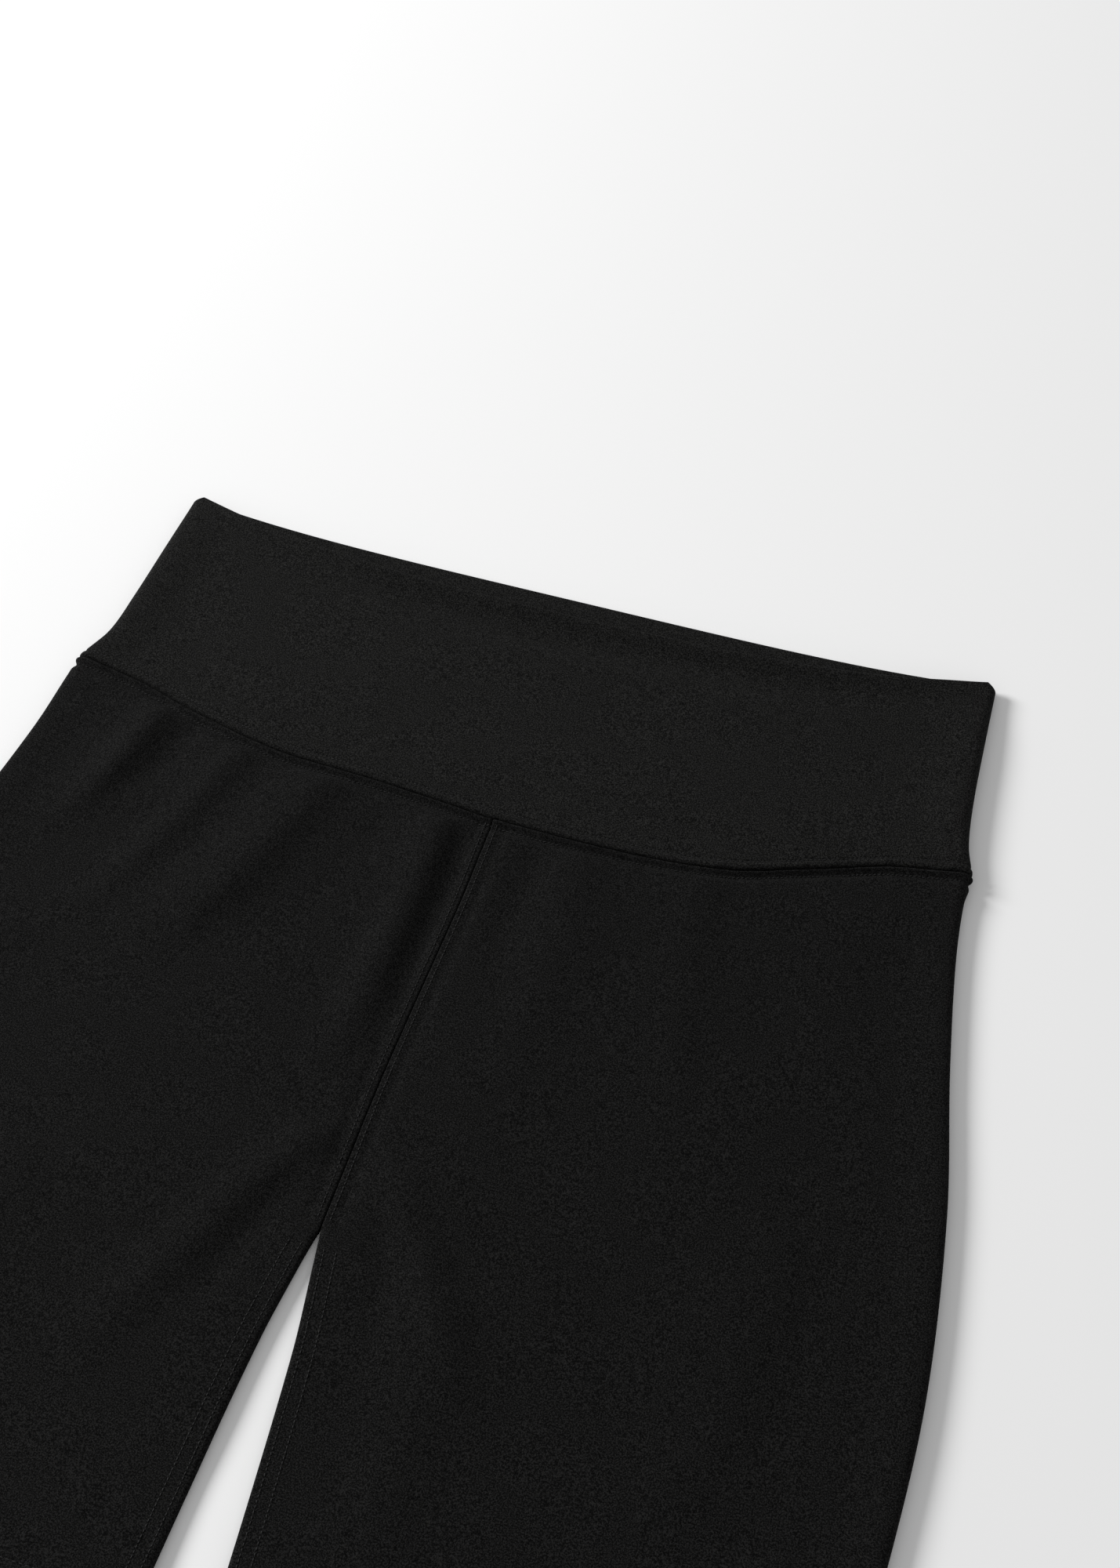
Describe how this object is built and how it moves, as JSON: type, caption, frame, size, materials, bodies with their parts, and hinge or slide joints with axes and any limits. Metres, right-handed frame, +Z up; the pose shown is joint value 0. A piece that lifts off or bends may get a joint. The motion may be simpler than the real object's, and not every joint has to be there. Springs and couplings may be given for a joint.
{
  "type": "legging shorts",
  "caption": "High-waisted legging shorts in plain black knit, laid flat, with a wide doubled waistband and a centre front seam.",
  "frame": {"origin": "bottom centre of the box round the shorts, on the surface they lie on", "axes": "+Z up out of the front, +Y towards the waist, +X towards the wearer's left leg"},
  "size_m": [0.4164, 0.452, 0.0074],
  "materials": {
    "band_knit": "matte black peached double knit, fine speckle",
    "leg_knit": "matte black peached double knit, fine speckle",
    "thread": "black textured polyester sewing thread, slightly shinier than the knit"
  },
  "bodies": {
    "root": {"waistband": "band_knit", "leg_right": "leg_knit", "leg_left": "leg_knit"}
  },
  "joints": []
}
